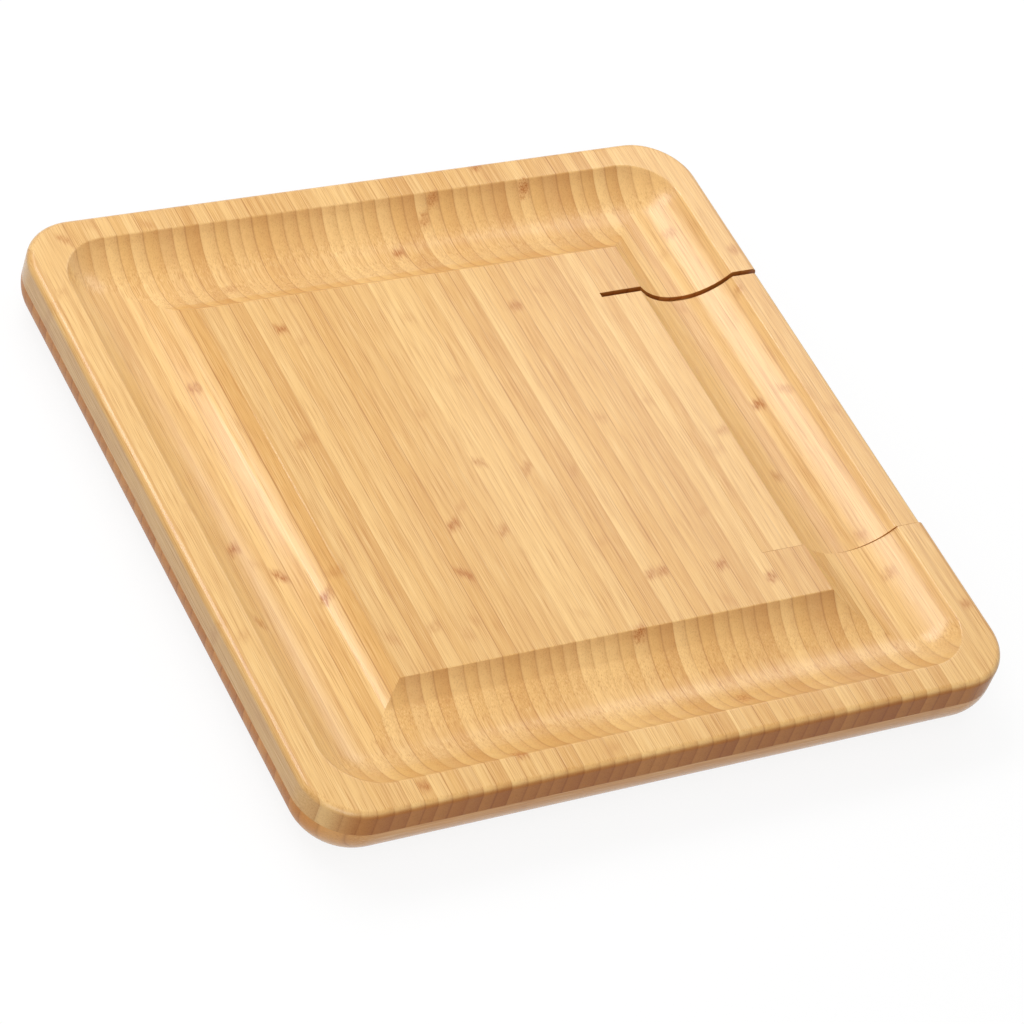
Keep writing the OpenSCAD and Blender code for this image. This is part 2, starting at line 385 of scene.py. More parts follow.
# %% [markdown]
# The drawer's piece of the top was sawn out of a board milled in the same way, and it stands
# about a millimetre further in than the rim, groove and all. Its front seam and its inner edge
# fit tightly, so they are modelled as a hair's breadth, while the seam at the back stays open.

# %% The drawer's piece of the top
cap = milled_top("drawer_cap_milled", tray_high.z, -face_inset)
cap_start, cap_front = notch_edge + tight_seam, -channel_half + tight_seam
mill(cap, block("keep", (cap_start, cap_front, tray_high.z - over),
                (board_half + over, cap_high.y, board_top + over)), "INTERSECT")
above_tray = tray_high.z + MM
round_sharp(cap, lambda p: p.z > above_tray and (near(p.x, cap_start) or near(p.y, cap_front)),
            tight_edge, 2)
round_sharp(cap, lambda p: p.z > above_tray and near(p.y, cap_high.y), seam_edge, 2)
smooth(cap)
print("drawer's piece faces", len(cap.data.polygons))

# %% [markdown]
# The layers below are slices of the same form: the two side rails, the rear rail and the base
# panel. The rails have slots that the runners are glued into, the rear rail has holes for two
# magnets, and the base has one for the pin that stops the drawer.

# %% Places of the runners, magnets and pin
runner_low, runner_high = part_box("back_runner")
pin_low, pin_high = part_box("stop_pin")
rail_magnet_low, rail_magnet_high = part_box("rear_rail_magnets")
tray_magnet_low, tray_magnet_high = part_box("drawer_magnets")
magnet_radius = (rail_magnet_high.z - rail_magnet_low.z) / 2
magnet_level = (rail_magnet_high.z + rail_magnet_low.z) / 2
magnet_y = rail_magnet_high.y - magnet_radius
pin_x = (pin_low.x + pin_high.x) / 2
pin_radius = (pin_high.x - pin_low.x) / 2
hole_gap = 0.05 * MM
print("runner end", round(runner_high.x, 4), "pin", round(pin_x, 4), "magnets", round(magnet_y, 4))


# %% Rails and base panel
def layer(name, bottom, top_level, *saws):
    """A slice of the form between two levels, sawn off at planes."""
    piece = board_form(name)
    saw(piece, (0, 0, bottom), (0, 0, -1))
    saw(piece, (0, 0, top_level), (0, 0, 1))
    for point, normal in saws:
        saw(piece, point, normal)
    return piece


def side_rail(name, side):
    """The rail at the back, side 1, or at the front, side -1."""
    piece = layer(name, panel_top, slab_bottom, ((0, side * channel_half, 0), (0, -side, 0)))
    y_range = sorted((side * (channel_half - over), side * runner_high.y))
    mill(piece, block("slot", (runner_low.x, y_range[0], runner_low.z),
                      (runner_high.x, y_range[1], runner_high.z)))
    smooth(piece)
    return piece


back_rail = side_rail("back_rail_milled", 1)
front_rail = side_rail("front_rail_milled", -1)

rear_rail = layer("rear_rail_milled", panel_top, slab_bottom, ((rear_high.x, 0, 0), (1, 0, 0)),
                  ((0, channel_half, 0), (0, 1, 0)), ((0, -channel_half, 0), (0, -1, 0)))
for y in (-magnet_y, magnet_y):
    mill(rear_rail, rod("bore", (rail_magnet_low.x, y, magnet_level), (rear_high.x + over, y, magnet_level),
                        magnet_radius + hole_gap))
smooth(rear_rail)

panel = layer("base_panel_milled", 0, panel_top)
mill(panel, rod("bore", (pin_x, 0, -over), (pin_x, 0, panel_top + over), pin_radius + hole_gap))
smooth(panel)
print("rail faces", len(back_rail.data.polygons), "base panel faces", len(panel.data.polygons))

# %% [markdown]
# The tray is a slab under the drawer's piece of the top. A router cuts four pockets with round
# corners for the tools, a shallow trough across the handles for the fingertips, a groove along
# each side for the runner, a slot under it for the stop pin, and two magnet holes in its end.
# The pocket rims are rounded, because hands reach in there.

# %% Sizes of the tray
TOOLS = ("knife", "slicer", "spade", "fork")
runner_gap = 0.3 * MM
pocket_width = 27 * MM
pocket_depth = 9.5 * MM
pocket_corner = 5 * MM
pocket_foot = 1.2 * MM
pocket_rim = 0.7 * MM
end_wall = 10 * MM
cap_margin = 6 * MM
trough_width = 34 * MM
trough_depth = 6 * MM
slot_depth = 4.2 * MM
travel = frame["joints"][0]["range_m"][1]
handle_boxes = {tool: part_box(tool + "_handle") for tool in TOOLS}
tool_y = {tool: (low.y + high.y) / 2 for tool, (low, high) in handle_boxes.items()}
handle_x = (handle_boxes["knife"][0].x + handle_boxes["knife"][1].x) / 2
print("tools at", {tool: round(y, 4) for tool, y in tool_y.items()}, "travel", travel)

# %% Tray blank
tray = board_form("drawer_tray_milled", -face_inset)
for point, normal in (((0, 0, tray_low.z), (0, 0, -1)), ((0, 0, tray_high.z), (0, 0, 1)),
                      ((tray_low.x, 0, 0), (-1, 0, 0)), ((0, tray_low.y, 0), (0, -1, 0)),
                      ((0, tray_high.y, 0), (0, 1, 0))):
    saw(tray, point, normal)

# %% Pockets and trough
pocket_floor = tray_high.z - pocket_depth
for tool in TOOLS:
    pocket = block("pocket", (tray_low.x + end_wall, tool_y[tool] - pocket_width / 2, pocket_floor),
                   (notch_edge - cap_margin, tool_y[tool] + pocket_width / 2, tray_high.z + over))
    round_upright(pocket, pocket_corner)
    round_sharp(pocket, lambda p: near(p.z, pocket_floor), pocket_foot)
    mill(tray, pocket)

trough_radius = (trough_width ** 2 / 4 + trough_depth ** 2) / (2 * trough_depth)
trough_half = tool_y["fork"] + pocket_width / 2
trough_level = tray_high.z - trough_depth + trough_radius
mill(tray, rod("trough", (handle_x, -trough_half, trough_level), (handle_x, trough_half, trough_level),
               trough_radius, sides=160))
count = round_sharp(tray, lambda p: near(p.z, tray_high.z) and p.x < notch_edge, pocket_rim)
print("pocket rim edges rounded", count)

# %% Side grooves, magnet holes and the pin's slot
for side in (-1, 1):
    y_range = sorted((side * runner_low.y, side * (tray_high.y + over)))
    mill(tray, block("side groove", (tray_low.x - over, y_range[0] - hole_gap, runner_low.z - runner_gap),
                     (runner_high.x + closing_gap, y_range[1] + hole_gap, runner_high.z + runner_gap)))
    mill(tray, rod("bore", (tray_low.x - over, side * magnet_y, magnet_level),
                   (tray_magnet_high.x, side * magnet_y, magnet_level), magnet_radius + hole_gap))
# the slot's end is just short of a half circle, or the roundings of its two corners would meet
nearly_round = 0.98
slot_radius = pin_radius + closing_gap
slot = block("slot", (pin_x - travel - slot_radius, -slot_radius, tray_low.z - over),
             (pin_x + slot_radius, slot_radius, tray_low.z + slot_depth))
round_upright(slot, slot_radius * nearly_round)
mill(tray, slot)
smooth(tray)
print("tray faces", len(tray.data.polygons))

# %% [markdown]
# Runners, stop pin and magnets are small planed or bought pieces. Each starts as a block or a
# rod at its size and gets the small bevel that such a piece has.

# %% Runners, stop pin and magnets
runner_edge = 0.4 * MM
pin_edge = 0.5 * MM
magnet_edge = 0.3 * MM


def eased(piece, radius, steps=2):
    """Rounds every sharp edge of a small piece."""
    round_sharp(piece, lambda p: True, radius, steps)
    smooth(piece)
    return piece


def magnets(name, low, high):
    """A pair of disc magnets, joined as one piece."""
    discs = [eased(rod(name, (low.x, y, magnet_level), (high.x, y, magnet_level), magnet_radius, 40),
                   magnet_edge) for y in (-magnet_y, magnet_y)]
    only(discs[0])
    discs[1].select_set(True)
    bpy.ops.object.join()
    return discs[0]


back_runner = eased(block("back_runner_planed", *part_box("back_runner")), runner_edge)
front_runner = eased(block("front_runner_planed", *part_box("front_runner")), runner_edge)
pin = eased(rod("stop_pin_turned", (pin_x, 0, pin_low.z), (pin_x, 0, pin_high.z), pin_radius, 32),
            pin_edge, 3)
rail_magnets = magnets("rear_rail_magnets_pressed", rail_magnet_low, rail_magnet_high)
tray_magnets = magnets("drawer_magnets_pressed", tray_magnet_low, tray_magnet_high)
print("pin faces", len(pin.data.polygons), "magnet faces", len(rail_magnets.data.polygons))

# %% [markdown]
# A tool's handle is a bamboo bar, planed to a soft oval section and sanded narrower towards the
# ferrule. It starts as a block, whose long edges are rounded. Then it is cut across at stations
# and each ring of points is scaled, which is how a bar is tapered by hand in edit mode.

# %% Tapered bars
def tapered_bar(name, low, high, edge_radius, stations):
    """A bar along X with rounded long edges. A station is a share of the length, and the shares
    of the full width and thickness that the bar has there."""
    piece = block(name, low, high)
    middle = (low + high) / 2
    edit(piece)
    pick(piece, "EDGE", lambda points: near(points[0].y, points[1].y) and near(points[0].z, points[1].z))
    bevel(edge_radius, 6)
    places = [low.x + station[0] * (high.x - low.x) for station in stations]
    for x in places[1:-1]:
        bpy.ops.mesh.select_all(action="SELECT")
        bpy.ops.mesh.bisect(plane_co=(x, 0, 0), plane_no=(1, 0, 0))
    for x, (share, wide, thick) in zip(places, stations):
        pick(piece, "VERT", lambda p: near(p.x, x))
        bpy.ops.transform.resize(value=(1, wide, thick), center_override=(x, middle.y, middle.z))
    done()
    return piece


# %% Handles
HANDLE_SHARES = ((0, 0.72, 1), (0.02, 0.72, 1), (0.2, 0.74, 0.98), (0.4, 0.8, 0.96),
                 (0.6, 0.89, 0.97), (0.78, 0.97, 1), (0.88, 1, 1), (0.93, 0.97, 0.97),
                 (0.965, 0.87, 0.88), (0.988, 0.68, 0.7), (1, 0.42, 0.45))
bar_edge_radius = 3.9 * MM


def handle(tool):
    low, high = handle_boxes[tool]
    piece = tapered_bar(tool + "_handle_shaped", low, high, bar_edge_radius, HANDLE_SHARES)
    apply_modifier(piece, "SUBSURF", levels=1, render_levels=1)
    smooth(piece, 50)
    return piece


handles = {tool: handle(tool) for tool in TOOLS}
print("handle faces", len(handles["knife"].data.polygons))

# %% [markdown]
# The ferrule is a short steel sleeve, pressed to the same oval as the handle and drawn in
# towards the blade, with a bead where it meets the wood.

# %% Ferrules
FERRULE_SHARES = ((0, 0.7, 0.52), (0.08, 0.76, 0.6), (0.3, 0.84, 0.76), (0.6, 0.94, 0.94),
                  (0.68, 0.95, 0.95), (0.74, 0.99, 0.99), (0.84, 1, 1), (0.94, 1, 1), (1, 0.985, 0.98))
ferrule_mouth_edge = 0.5 * MM


def ferrule(tool):
    low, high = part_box(tool + "_ferrule")
    piece = tapered_bar(tool + "_ferrule_pressed", low, high, bar_edge_radius, FERRULE_SHARES)
    round_sharp(piece, lambda p: near(p.x, low.x), ferrule_mouth_edge, 3, 50)
    smooth(piece, 60)
    return piece


ferrules = {tool: ferrule(tool) for tool in TOOLS}
print("ferrule faces", len(ferrules["knife"].data.polygons))

# %% [markdown]
# The blades are stamped from 1.6 mm sheet and then ground. Each starts as a flat rectangle, cut
# across at stations, and the two points at each station are moved to the outline there. A
# subdivision rounds the outline, Solidify gives the sheet its thickness, and holes are cut. Then
# the two broad faces are inset and the rim that is left is pinched together to a ground edge.

# %% Outlines of the blades: share of the length from the ferrule, and of the width on each side
KNIFE_SHARES = ((0, -0.17, 0.17), (0.09, -0.17, 0.17), (0.15, -0.24, 0.3), (0.19, -0.46, 0.36),
                (0.24, -0.485, 0.365), (0.5, -0.5, 0.365), (0.74, -0.41, 0.38), (0.88, -0.22, 0.455),
                (0.96, 0.02, 0.485), (1, 0.3, 0.5))
SLICER_SHARES = ((0, -0.13, 0.13), (0.12, -0.13, 0.13), (0.17, -0.17, 0.17), (0.24, -0.34, 0.34),
                 (0.3, -0.36, 0.36), (0.6, -0.425, 0.425), (0.9, -0.49, 0.49), (0.95, -0.5, 0.5),
                 (0.985, -0.49, 0.49), (1, -0.45, 0.45))
SPADE_SHARES = ((0, -0.13, 0.13), (0.16, -0.13, 0.13), (0.22, -0.18, 0.18), (0.29, -0.36, 0.36),
                (0.4, -0.48, 0.48), (0.52, -0.5, 0.5), (0.72, -0.41, 0.41), (0.88, -0.24, 0.24),
                (0.97, -0.12, 0.12), (1, -0.06, 0.06))
FORK_SHARES = ((0, -0.16, 0.16), (0.3, -0.16, 0.16), (0.37, -0.2, 0.2), (0.43, -0.34, 0.34),
               (0.5, -0.48, 0.48), (0.58, -0.5, 0.5), (0.8, -0.48, 0.48), (0.92, -0.45, 0.45),
               (0.98, -0.4, 0.4), (1, -0.34, 0.34))
blade_boxes = {tool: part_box(tool + "_blade") for tool in TOOLS}
mouth_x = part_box("knife_ferrule")[0].x
tip_x = blade_boxes["knife"][0].x
blade_length = mouth_x - tip_x
blade_top, blade_bottom = blade_boxes["knife"][1].z, blade_boxes["knife"][0].z
steel = blade_top - blade_bottom
blade_middle = (blade_top + blade_bottom) / 2
into_ferrule = 4 * MM
ground_edge = 0.2
blade_crease = 12
blade_widths = {tool: high.y - low.y for tool, (low, high) in blade_boxes.items()}
print("blade length", round(blade_length, 4), "widths", [round(w, 4) for w in blade_widths.values()])


def along_blade(share):
    return mouth_x - share * blade_length


# %% Stamped plates
def stamped(tool, shares):
    """A blade's plate with its outline and thickness."""
    y, width = tool_y[tool], blade_widths[tool]
    rows = [(mouth_x + into_ferrule,) + shares[0][1:]] + [(along_blade(s), a, b) for s, a, b in shares]
    bpy.ops.object.select_all(action="DESELECT")
    bpy.ops.mesh.primitive_plane_add(size=1, location=((rows[0][0] + rows[-1][0]) / 2, y, blade_top))
    # the square becomes a rectangle, and started() puts that scale in its mesh
    bpy.context.active_object.scale = (rows[0][0] - rows[-1][0], width, 1)
    piece = started(tool + "_blade_ground")
    edit(piece)
    for x in [row[0] for row in rows[1:-1]]:
        bpy.ops.mesh.select_all(action="SELECT")
        bpy.ops.mesh.bisect(plane_co=(x, 0, 0), plane_no=(1, 0, 0))
    for x, low_share, high_share in rows:
        for side, share in ((-1, low_share), (1, high_share)):
            pick(piece, "VERT", lambda p: near(p.x, x) and (p.y - y) * side > width / 4)
            bpy.ops.transform.translate(value=(0, (share - side / 2) * width, 0))
    done()
    apply_modifier(piece, "SUBSURF", levels=2, render_levels=2, boundary_smooth="PRESERVE_CORNERS")
    edit(piece)
    bpy.ops.mesh.select_all(action="SELECT")
    bpy.ops.mesh.dissolve_limited(angle_limit=math.radians(0.5))
    done()
    apply_modifier(piece, "SOLIDIFY", thickness=steel, offset=-1)
    return piece


def grind(piece, width, shoulder):
    """Grinds a bevel of this width round the outline, from the tip to the share shoulder."""
    edit(piece)
    pick(piece, "FACE", lambda points, face: abs(face.normal.z) > 0.9)
    bpy.ops.mesh.inset(thickness=width, depth=0, use_even_offset=True)
    pick(piece, "FACE", lambda points, face: abs(face.normal.z) < 0.1
         and all(p.x < along_blade(shoulder) for p in points))
    bpy.ops.transform.resize(value=(1, 1, ground_edge), center_override=(0, 0, blade_middle))
    bpy.ops.mesh.select_all(action="SELECT")
    bpy.ops.mesh.normals_make_consistent(inside=False)
    done()
    smooth(piece, blade_crease)


# %% Forked knife, slicer, spade and fork
through_top, through_bottom = blade_top + over, blade_bottom - over
# the bevel's width, and the share of the blade where it starts
GRINDS = {"knife": (0.8 * MM, 0.15), "slicer": (0.9 * MM, 0.2), "spade": (1.2 * MM, 0.2),
          "fork": (0.7 * MM, 0.3)}
# the holes, as shares of the blade's length and width, with their radii
notch_along, notch_aside, notch_radius = 0.985, 0.24, 2 * MM
slot_from, slot_to, slot_aside, slot_corner = 0.5, 0.54, 0.33, 1.2 * MM
gap_from, gap_aside, gap_round = 0.57, 0.21, 0.95

knife = stamped("knife", KNIFE_SHARES)
grind(knife, *GRINDS["knife"])
notch_x, notch_y = along_blade(notch_along), tool_y["knife"] + notch_aside * blade_widths["knife"]
mill(knife, rod("notch", (notch_x, notch_y, through_bottom), (notch_x, notch_y, through_top),
                notch_radius))
smooth(knife, blade_crease)

slicer = stamped("slicer", SLICER_SHARES)
grind(slicer, *GRINDS["slicer"])
slot_half = slot_aside * blade_widths["slicer"]
slot = block("slot", (along_blade(slot_to), tool_y["slicer"] - slot_half, through_bottom),
             (along_blade(slot_from), tool_y["slicer"] + slot_half, through_top))
round_upright(slot, slot_corner, 6)
mill(slicer, slot)
smooth(slicer, blade_crease)

spade = stamped("spade", SPADE_SHARES)
grind(spade, *GRINDS["spade"])

fork = stamped("fork", FORK_SHARES)
gap_half = gap_aside * blade_widths["fork"]
gap = block("gap", (tip_x - over, tool_y["fork"] - gap_half, through_bottom),
            (along_blade(gap_from), tool_y["fork"] + gap_half, through_top))
round_upright(gap, gap_half * gap_round, 10)
mill(fork, gap)
grind(fork, *GRINDS["fork"])
blades = {"knife": knife, "slicer": slicer, "spade": spade, "fork": fork}
print("blade faces", {tool: len(piece.data.polygons) for tool, piece in blades.items()})

# %% [markdown]
# Materials. One helper adds a node with its settings and links, and one turns an sRGB hex value
# into the linear colour that Blender works in.

# %% Material helpers
def linear(hex_colour):
    """An sRGB hex value as linear RGBA."""
    parts = [int(hex_colour[i:i + 2], 16) / 255 for i in (1, 3, 5)]
    return [c / 12.92 if c <= 0.04045 else ((c + 0.055) / 1.055) ** 2.4 for c in parts] + [1.0]


def add(tree, kind, links=None, **settings):
    """Adds a node. Settings are its own properties. Links fill its inputs with a constant, a
    socket, or the first output of another node."""
    item = tree.nodes.new("ShaderNode" + kind)
    for name, value in settings.items():
        setattr(item, name, value)
    for key, value in (links or {}).items():
        if isinstance(value, bpy.types.Node):
            value = value.outputs[0]
        if isinstance(value, bpy.types.NodeSocket):
            tree.links.new(value, item.inputs[key])
        else:
            item.inputs[key].default_value = value
    return item


def material(name):
    """An empty material with its Principled shader."""
    made = bpy.data.materials.new(name)
    made.use_nodes = True
    tree = made.node_tree
    tree.nodes.clear()
    shader = add(tree, "BsdfPrincipled")
    add(tree, "OutputMaterial", {"Surface": shader})
    return made, tree, shader


# %% [markdown]
# Bamboo, edge-glued with the strips on edge, sanded and lacquered satin. Each strip is 6 to 7 mm
# wide and has a tone of its own. Its fibre bundles run its whole length, so the long faces show
# fine streaks and the cut ends show dots. Every 20 cm or so a culm has a knuckle, which shows as
# a short brown mark across one strip, ragged along the fibres. All of it is one solid pattern in
# space, so the groove cuts through it as the mill does. Bundles are really 0.3 to 0.5 mm thick
# and fibres finer still. Both are drawn a little coarser, so that they show.

# %% Sizes of the bamboo pattern, in millimetres
strip_width = 6.6
width_change, width_wave = 5.0, 23.0
bundle_width, bundle_length = 0.6, 90.0
fibre_width, fibre_length = 0.36, 24.0
streak_width, streak_length = 1.6, 70.0
knuckle_spacing, knuckle_change = 165.0, 80.0
knuckle_scatter = 300.0
knuckle_half, knuckle_ragged, knuckle_slant = 2.4, 8.0, 5.0

# Shares of a strip's width that its glue lines take, and of the lacquer's shine on cut ends.
# SOFT makes a change gradual at both ends.
glue_line, soft_line = 0.04, 0.13
end_shine = 0.4
SOFT = {"interpolation_type": "SMOOTHSTEP"}


# %% Bamboo, where everything is
def bamboo_places(tree, turned, seed, strip):
    """The pattern's coordinates in millimetres, the strip's number and the place across it, and
    how much the surface faces along the grain."""
    turn = (0, 0, math.radians(90) if turned else 0)
    coordinates = add(tree, "TexCoord")
    place = add(tree, "Mapping", {"Vector": coordinates.outputs["Object"], "Rotation": turn,
                                  "Scale": (1 / MM,) * 3, "Location": (seed, seed * 3, 0)})
    normal = add(tree, "Mapping", {"Vector": coordinates.outputs["Normal"], "Rotation": turn},
                 vector_type="NORMAL")
    parts = add(tree, "SeparateXYZ", {0: place})
    # strips differ a little in width
    slow = add(tree, "VectorMath", {0: place, 1: (1 / width_wave, 0, 0)}, operation="MULTIPLY")
    wander = add(tree, "TexNoise", {"Vector": slow, "Scale": 1.0, "Detail": 0.0})
    across = add(tree, "Math", {0: wander, 1: width_change, 2: parts.outputs[0]}, operation="MULTIPLY_ADD")
    count = add(tree, "Math", {0: across, 1: strip}, operation="DIVIDE")
    number = add(tree, "Math", {0: count}, operation="FLOOR")
    inside = add(tree, "Math", {0: count}, operation="FRACT")
    facing = add(tree, "SeparateXYZ", {0: normal})
    facing = add(tree, "Math", {0: facing.outputs[1]}, operation="ABSOLUTE")
    return place, parts.outputs[1], count, number, inside, facing


# %% Bamboo, its knuckles
def bamboo_knuckles(tree, place, along, number, inside, edge):
    """How much of a knuckle is at each point, from 0 to 1."""
    other = add(tree, "Math", {0: number, 1: 71.3}, operation="ADD")
    other = add(tree, "TexWhiteNoise", {"W": other}, noise_dimensions="1D")
    third = add(tree, "Math", {0: number, 1: 191.7}, operation="ADD")
    third = add(tree, "TexWhiteNoise", {"W": third}, noise_dimensions="1D")
    spacing = add(tree, "Math", {0: third, 1: knuckle_change, 2: knuckle_spacing}, operation="MULTIPLY_ADD")
    # the mark runs slantwise over the strip, to one side or the other
    slant = add(tree, "Math", {0: other, 1: 2 * knuckle_slant, 2: -knuckle_slant}, operation="MULTIPLY_ADD")
    leaning = add(tree, "Math", {0: inside, 1: slant, 2: along}, operation="MULTIPLY_ADD")
    shifted = add(tree, "Math", {0: other, 1: knuckle_scatter, 2: leaning}, operation="MULTIPLY_ADD")
    turns = add(tree, "Math", {0: shifted, 1: spacing}, operation="DIVIDE")
    fold = add(tree, "Math", {0: turns, 1: 0.5}, operation="PINGPONG")
    distance = add(tree, "Math", {0: fold, 1: spacing}, operation="MULTIPLY")
    # its edge runs out along the fibres
    cells = add(tree, "VectorMath", {0: place, 1: (1 / 0.9, 1 / 10, 1 / 0.9)}, operation="MULTIPLY")
    ragged = add(tree, "TexNoise", {"Vector": cells, "Scale": 1.0, "Detail": 2.0})
    ragged = add(tree, "Math", {0: ragged, 1: 0.5}, operation="SUBTRACT")
    distance = add(tree, "Math", {0: ragged, 1: knuckle_ragged, 2: distance}, operation="MULTIPLY_ADD")
    mark = add(tree, "MapRange", {0: distance, 1: 0.0, 2: knuckle_half * 2, 3: 1.0, 4: 0.0}, **SOFT)
    # it fades towards the sides of the strip, and some strips show theirs faintly
    within = add(tree, "MapRange", {0: edge, 1: 0.0, 2: 0.25, 3: 0.45, 4: 1.0})
    strength = add(tree, "MapRange", {0: third, 1: 0.25, 2: 0.95, 3: 0.25, 4: 1.05}, **SOFT)
    cells = add(tree, "VectorMath", {0: place, 1: (1 / 0.5, 1 / 3, 1 / 0.5)}, operation="MULTIPLY")
    patchy = add(tree, "TexNoise", {"Vector": cells, "Scale": 1.0, "Detail": 2.0})
    patchy = add(tree, "MapRange", {0: patchy, 1: 0.38, 2: 0.6, 3: 0.4, 4: 1.0})
    for share in (within, strength, patchy):
        mark = add(tree, "Math", {0: mark, 1: share}, operation="MULTIPLY")
    return mark


# %% Bamboo, put together
def bamboo(name, turned=False, seed=0.0, strip=strip_width, pale="#f0c47d", middle="#e0ad62",
           deep="#b06b20", end_tint="#cfaa84", rough=0.6, lacquer=1.0):
    """Bamboo whose strips run along Y, or along X if turned."""
    made, tree, shader = material(name)
    place, along, count, number, inside, facing = bamboo_places(tree, turned, seed, strip)
    tone = add(tree, "TexWhiteNoise", {"W": number}, noise_dimensions="1D")
    burnt = add(tree, "Math", {0: number, 1: 33.3}, operation="ADD")
    burnt = add(tree, "TexWhiteNoise", {"W": burnt}, noise_dimensions="1D")
    burnt = add(tree, "Math", {0: burnt, 1: 2.0}, operation="POWER")
    dotted = add(tree, "MapRange", {0: facing, 1: 0.1, 2: 0.55}, **SOFT)
    cut_end = add(tree, "MapRange", {0: facing, 1: 0.6, 2: 1.0}, **SOFT)

    cells = add(tree, "VectorMath", {0: place, 1: (1 / bundle_width, 1 / bundle_length, 1 / bundle_width)},
                operation="MULTIPLY")
    bundle = add(tree, "TexVoronoi", {"Vector": cells, "Scale": 1.0}, feature="F1")
    bundle = add(tree, "MapRange", {0: bundle, 1: 0.1, 2: 0.5, 3: 1.0, 4: 0.0}, **SOFT)
    cells = add(tree, "VectorMath", {0: place, 1: (1 / fibre_width, 1 / fibre_length, 1 / fibre_width)},
                operation="MULTIPLY")
    fibre = add(tree, "TexNoise", {"Vector": cells, "Scale": 1.0, "Detail": 2.0, "Roughness": 0.6})
    cells = add(tree, "VectorMath", {0: place, 1: (1 / streak_width, 1 / streak_length, 1 / streak_width)},
                operation="MULTIPLY")
    streak = add(tree, "TexNoise", {"Vector": cells, "Scale": 1.0, "Detail": 2.0, "Roughness": 0.55})

    # the outside of the culm is denser, so one side of each strip is darker
    side = add(tree, "Math", {0: inside, 1: 1.6}, operation="POWER")
    dense = add(tree, "MapRange", {0: inside, 1: 0.0, 2: 0.8, 3: 0.4, 4: 1.0})
    dots = add(tree, "Math", {0: dense, 1: bundle}, operation="MULTIPLY")
    # a thin glue line on some strips, and a soft one where the ends soak up more lacquer
    edge = add(tree, "Math", {0: count, 1: 0.5}, operation="PINGPONG")
    thin = add(tree, "MapRange", {0: edge, 1: 0.0, 2: glue_line, 3: 1.0, 4: 0.0}, **SOFT)
    soft = add(tree, "MapRange", {0: edge, 1: 0.0, 2: soft_line, 3: 1.0, 4: 0.0}, **SOFT)
    seam = add(tree, "Math", {0: count}, operation="ROUND")
    seam = add(tree, "TexWhiteNoise", {"W": seam}, noise_dimensions="1D")
    seam = add(tree, "Math", {0: seam, 1: 1.4}, operation="POWER")
    thin = add(tree, "Math", {0: thin, 1: seam}, operation="MULTIPLY")
    seam = add(tree, "MapRange", {0: seam, 3: 0.35, 4: 1.0})
    soft = add(tree, "Math", {0: soft, 1: seam}, operation="MULTIPLY")
    dark = add(tree, "MapRange", {0: fibre, 1: 0.5, 2: 0.7}, **SOFT)
    light = add(tree, "MapRange", {0: fibre, 1: 0.46, 2: 0.28}, **SOFT)
    brown = add(tree, "MapRange", {0: streak, 1: 0.44, 2: 0.74}, **SOFT)
    knuckle = bamboo_knuckles(tree, place, along, number, inside, edge)

    colour = add(tree, "MixRGB", {"Fac": tone, "Color1": linear(pale), "Color2": linear(middle)})
    # each layer: where it lies, its share on long faces, what cut ends add to that, and its colour
    for mask, plain, extra, towards in ((burnt, 0.16, 0.14, deep), (brown, 0.26, -0.14, deep),
                                        (dark, 0.5, -0.39, deep), (light, 0.5, -0.42, "#f8d699"),
                                        (side, 0.16, 0.16, deep), (dots, 0.06, 0.2, "#98541c"),
                                        (soft, 0.06, 0.24, "#95541f"), (thin, 0.85, -0.6, "#a05a1a"),
                                        (knuckle, 1.0, 0.0, "#b3691c")):
        share = add(tree, "Math", {0: dotted, 1: extra, 2: plain}, operation="MULTIPLY_ADD")
        amount = add(tree, "Math", {0: mask, 1: share}, operation="MULTIPLY")
        colour = add(tree, "MixRGB", {"Fac": amount, "Color1": colour, "Color2": linear(towards)})
    colour = add(tree, "MixRGB", {"Fac": cut_end, "Color1": colour, "Color2": linear(end_tint)},
                 blend_type="MULTIPLY")
    tree.links.new(colour.outputs[0], shader.inputs["Base Color"])

    relief = add(tree, "Math", {0: bundle, 1: -0.5, 2: fibre}, operation="MULTIPLY_ADD")
    bump = add(tree, "Bump", {"Height": relief, "Strength": 0.06, "Distance": 0.2 * MM})
    tree.links.new(bump.outputs[0], shader.inputs["Normal"])
    # under the lacquer the wood itself is matt
    shader.inputs["Roughness"].default_value = rough
    shader.inputs["Specular IOR Level"].default_value = 0.1
    # cut ends soak up the lacquer, and keep less of its shine
    shine = add(tree, "MapRange", {0: cut_end, 3: lacquer, 4: lacquer * end_shine})
    tree.links.new(shine.outputs[0], shader.inputs["Coat Weight"])
    shader.inputs["Coat Roughness"].default_value = 0.25
    shader.inputs["Coat IOR"].default_value = 1.5
    return made


# %% [markdown]
# The same bamboo in its places on the board. The top runs front to back. The drawer's piece of
# it comes from another stretch of the blank, so its strips don't line up across the seams. The
# middle layer and the base run across, as in plywood, which keeps the board flat. The tray is
# made of wider strips, and the handles are steamed longer, which turns bamboo brown.

# %% Woods of this board
top_bamboo = bamboo("lacquered_bamboo_of_the_top")
cap_bamboo = bamboo("lacquered_bamboo_of_the_drawer_top", seed=41.0)
rail_bamboo = bamboo("lacquered_bamboo_laid_across", turned=True, seed=23.0, strip=7.5, end_tint="#f4e0d0",
                     pale="#ecb163", middle="#de9e50")
tray_bamboo = bamboo("oiled_bamboo_of_the_tray", turned=True, seed=87.0, strip=19.0, lacquer=0.3)
handle_bamboo = bamboo("steamed_bamboo_of_the_handles", turned=True, seed=5.0, strip=11.0, lacquer=0.5,
                       pale="#c68d55", middle="#b2763f", deep="#7d4a22")
print("nodes in the top's bamboo", len(top_bamboo.node_tree.nodes))

